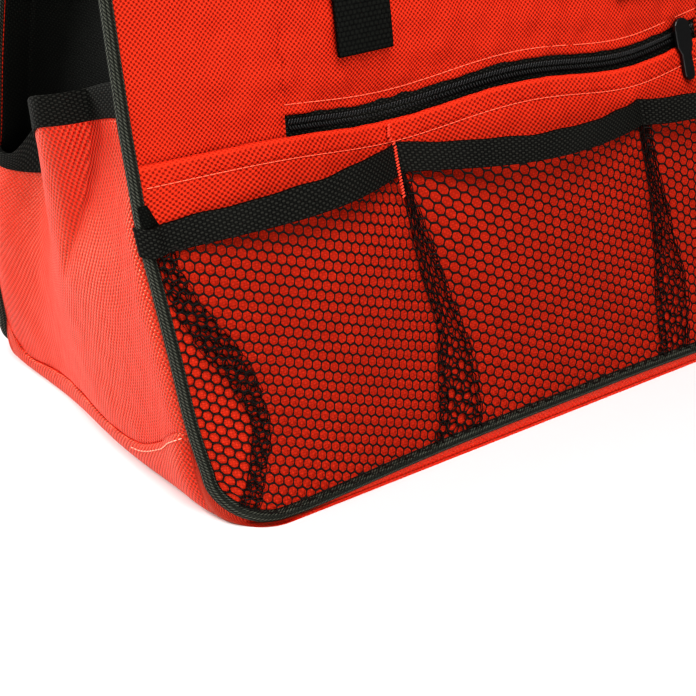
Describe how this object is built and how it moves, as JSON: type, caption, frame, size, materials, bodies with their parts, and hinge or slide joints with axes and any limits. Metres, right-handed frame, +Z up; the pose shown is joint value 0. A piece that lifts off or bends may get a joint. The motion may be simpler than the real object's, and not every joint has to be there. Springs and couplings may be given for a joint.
{
  "type": "tool bag",
  "caption": "Soft gabled tool bag of woven cloth with black piping, net pockets and a zip pocket on the front, slack end pockets, an open mouth and two webbing handles.",
  "frame": {"origin": "middle of the base, on the surface that the bag stands on", "axes": "+X along the bag, -Y out of the front with the net pockets, +Z up"},
  "size_m": [0.4534, 0.238, 0.3394],
  "materials": {
    "red_cloth": "woven polyester, slight sheen",
    "black_cloth": "woven polyester",
    "black_net": "knitted hexagon net",
    "black_tape": "ribbed binding tape",
    "black_piping": "woven cover over cord",
    "black_zip": "nylon coil on woven tape",
    "slider_enamel": "black enamel",
    "black_webbing": "heavy woven webbing"
  },
  "bodies": {
    "root": {"base_panel": "red_cloth", "front_panel": "red_cloth", "front_upper_panel": "red_cloth", "back_panel": "red_cloth", "end_pocket_left": "red_cloth", "end_pocket_right": "red_cloth", "end_wall_left": "black_cloth", "end_wall_right": "black_cloth", "mesh_pocket_left": "black_net", "mesh_pocket_middle": "black_net", "mesh_pocket_right": "black_net", "pocket_binding": "black_tape", "end_binding_left": "black_tape", "end_binding_right": "black_tape", "rim_tape_front": "black_tape", "rim_tape_back": "black_tape", "rim_tape_left": "black_tape", "rim_tape_right": "black_tape", "piping_front": "black_piping", "piping_back": "black_piping", "front_zip": "black_zip", "zip_slider": "slider_enamel", "handle_front": "black_webbing", "handle_back": "black_webbing"}
  },
  "joints": []
}
